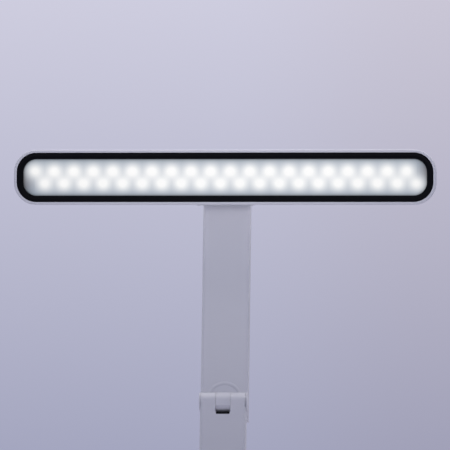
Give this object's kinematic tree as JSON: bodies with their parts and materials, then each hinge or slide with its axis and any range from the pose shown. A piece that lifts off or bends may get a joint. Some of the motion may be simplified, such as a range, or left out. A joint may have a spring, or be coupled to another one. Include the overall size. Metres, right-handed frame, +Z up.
{
  "type": "folding desk lamp",
  "caption": "Folding desk lamp with a weighted flat base, two flat hinged arms and a slim light bar with a dark frame round a milky diffuser.",
  "frame": {"origin": "middle of the footprint on the table, at the underside of the rubber feet", "axes": "+Z up along the standing lamp, +X to the viewer's right along the light bar, -Y towards the viewer, where the light faces"},
  "size_m": [0.3, 0.18, 0.392],
  "materials": {
    "white_shell": "fine matt white",
    "black_frame": "satin black",
    "diffuser_sheet": "milky, lit from behind",
    "circuit_board": "solder mask",
    "white_board": "white solder mask on aluminium",
    "diode": "moulded package",
    "steel": "plated",
    "weight_steel": "rough",
    "bracket_metal": "white enamel over steel",
    "black_plastic": "matt",
    "rubber": "matt",
    "lead_sheath": "flexible"
  },
  "bodies": {
    "base": {"base_top_shell": "white_shell", "base_bottom_cover": "white_shell", "rubber_feet": "rubber", "base_screws": "steel", "counterweight": "weight_steel", "control_board": "circuit_board", "board_screws": "steel", "tact_switches": "black_plastic", "inlet_board": "circuit_board", "usb_inlet": "steel", "base_hinge_bracket": "bracket_metal", "bracket_screws": "steel", "base_hinge_pin": "steel", "base_hinge_nut": "steel", "base_hinge_washers": "black_plastic"},
    "power_button": {"power_button": "white_shell"},
    "brightness_button": {"brightness_button": "white_shell"},
    "colour_button": {"colour_button": "white_shell"},
    "lower_arm": {"lower_arm_shell": "white_shell", "lower_arm_cover": "white_shell", "lower_arm_stiffener": "steel", "lower_arm_lead": "lead_sheath", "mid_hinge_pin": "steel", "mid_hinge_caps": "white_shell", "mid_hinge_washers": "black_plastic", "mid_lead_guide": "black_plastic"},
    "upper_arm": {"upper_arm_shell": "white_shell", "upper_arm_cover": "white_shell", "upper_arm_stiffener": "steel", "upper_arm_lead": "lead_sheath", "head_hinge_pin": "steel", "head_hinge_caps": "white_shell", "head_hinge_washers": "black_plastic"},
    "light_bar": {"head_bracket": "bracket_metal", "head_housing": "white_shell", "head_screws": "steel", "led_board": "white_board", "leds": "diode", "diffuser": "diffuser_sheet", "bezel_frame": "black_frame"}
  },
  "joints": [
    {"name": "base_fold", "type": "hinge", "parent": "base", "child": "lower_arm", "pos_m": [0, -0.035, 0.027], "axis": [-1, 0, 0], "range_deg": [-30.6, 79.4]},
    {"name": "mid_fold", "type": "hinge", "parent": "lower_arm", "child": "upper_arm", "pos_m": [0, -0.00005, 0.21376], "axis": [1, 0, 0], "range_deg": [0, 168]},
    {"name": "head_tilt", "type": "hinge", "parent": "upper_arm", "child": "light_bar", "pos_m": [0, 0.02723, 0.35953], "axis": [-1, 0, 0], "range_deg": [-79.4, 25.6]},
    {"name": "power_button_press", "type": "slide", "parent": "base", "child": "power_button", "axis": [0, 0, -1], "range_m": [0, 0.0008], "stiffness_N_per_m": 900, "springref_m": -0.001},
    {"name": "brightness_button_press", "type": "slide", "parent": "base", "child": "brightness_button", "axis": [0, 0, -1], "range_m": [0, 0.0008], "stiffness_N_per_m": 900, "springref_m": -0.001},
    {"name": "colour_button_press", "type": "slide", "parent": "base", "child": "colour_button", "axis": [0, 0, -1], "range_m": [0, 0.0008], "stiffness_N_per_m": 900, "springref_m": -0.001}
  ]
}
